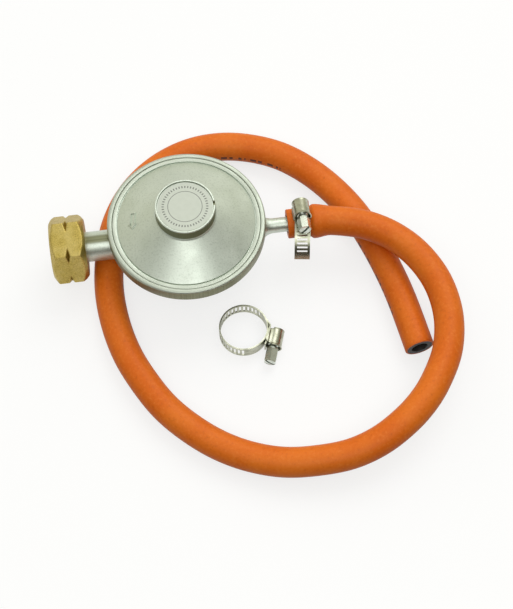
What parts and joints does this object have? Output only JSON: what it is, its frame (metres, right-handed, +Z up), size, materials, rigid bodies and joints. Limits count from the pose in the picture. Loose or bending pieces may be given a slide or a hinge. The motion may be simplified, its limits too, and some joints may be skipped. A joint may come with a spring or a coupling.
{
  "type": "propane regulator hose",
  "caption": "Low-pressure gas regulator with a left-hand bottle nut, a flexible outlet hose on a barbed nozzle, its worm-drive clamp and a loose spare clamp.",
  "frame": {"origin": "centre of the flat foot under the regulator's bowl", "axes": "+Z up out of the foot towards the boss, +X along the gas flow from the bottle nut to the hose nozzle, +Y completes a right-handed frame"},
  "size_m": [0.1956, 0.1919, 0.0533],
  "materials": {
    "cast_body": "pale cast metal with a thin coat, satin",
    "brass": "turned brass, satin",
    "spring_steel": "plain steel",
    "plated_steel": "bright zinc-plated steel",
    "hose_rubber": "smooth extruded rubber, slight sheen",
    "black_rubber": "moulded rubber",
    "cap_metal": "pressed sheet",
    "label_film": "printed film, blank"
  },
  "bodies": {
    "regulator": {"lower_body": "cast_body", "top_cover": "cast_body", "boss_cap": "cap_metal", "rating_disc": "label_film", "spring_adjuster": "brass", "main_spring": "spring_steel", "diaphragm": "black_rubber", "lever_pin": "spring_steel", "orifice_jet": "brass", "inlet_nipple": "brass", "inlet_seal": "black_rubber", "inlet_filter": "brass", "hose": "hose_rubber", "clamp_band": "plated_steel", "clamp_housing": "plated_steel"},
    "nut": {"inlet_nut": "brass"},
    "hose_clamp_screw": {"clamp_screw": "plated_steel"},
    "diaphragm_set": {"diaphragm_plate": "spring_steel", "diaphragm_washer": "spring_steel", "diaphragm_post": "brass", "post_nut": "plated_steel"},
    "valve_lever": {"lever": "spring_steel"},
    "valve": {"valve_slide": "brass", "valve_pad": "black_rubber"},
    "spare_clamp": {"spare_clamp_band": "plated_steel", "spare_clamp_housing": "plated_steel"},
    "spare_screw": {"spare_clamp_screw": "plated_steel"}
  },
  "joints": [
    {"name": "nut_spin", "type": "hinge", "parent": "regulator", "child": "nut", "pos_m": [-0.058, 0, 0.023], "axis": [1, 0, 0], "continuous": true},
    {"name": "clamp_screw_spin", "type": "hinge", "parent": "regulator", "child": "hose_clamp_screw", "pos_m": [0.0565, 0.0024, 0.0343], "axis": [0, -0.9781, 0.2079], "continuous": true},
    {"name": "diaphragm_lift", "type": "slide", "parent": "regulator", "child": "diaphragm_set", "axis": [0, 0, 1], "range_m": [0, 0.0025], "stiffness_N_per_m": 600, "springref_m": -0.009, "deforming": ["main_spring", "diaphragm"]},
    {"name": "lever_turn", "type": "hinge", "parent": "regulator", "child": "valve_lever", "pos_m": [-0.0115, 0, 0.0175], "axis": [0, -1, 0], "range_deg": [0, 12.6]},
    {"name": "valve_close", "type": "slide", "parent": "regulator", "child": "valve", "axis": [-1, 0, 0], "range_m": [0, 0.001]},
    {"name": "spare_clamp_lift", "type": "slide", "parent": "regulator", "child": "spare_clamp", "axis": [0, 0, 1], "range_m": [0, 0.03]},
    {"name": "spare_screw_spin", "type": "hinge", "parent": "spare_clamp", "child": "spare_screw", "pos_m": [0.03698, -0.05087, 0.0044], "axis": [-0.309, -0.9511, 0], "continuous": true}
  ],
  "couplings": [
    {"joint": "lever_turn", "follows": "diaphragm_lift", "rad_per_m": 86.957},
    {"joint": "valve_close", "follows": "diaphragm_lift", "ratio": 0.3913}
  ]
}
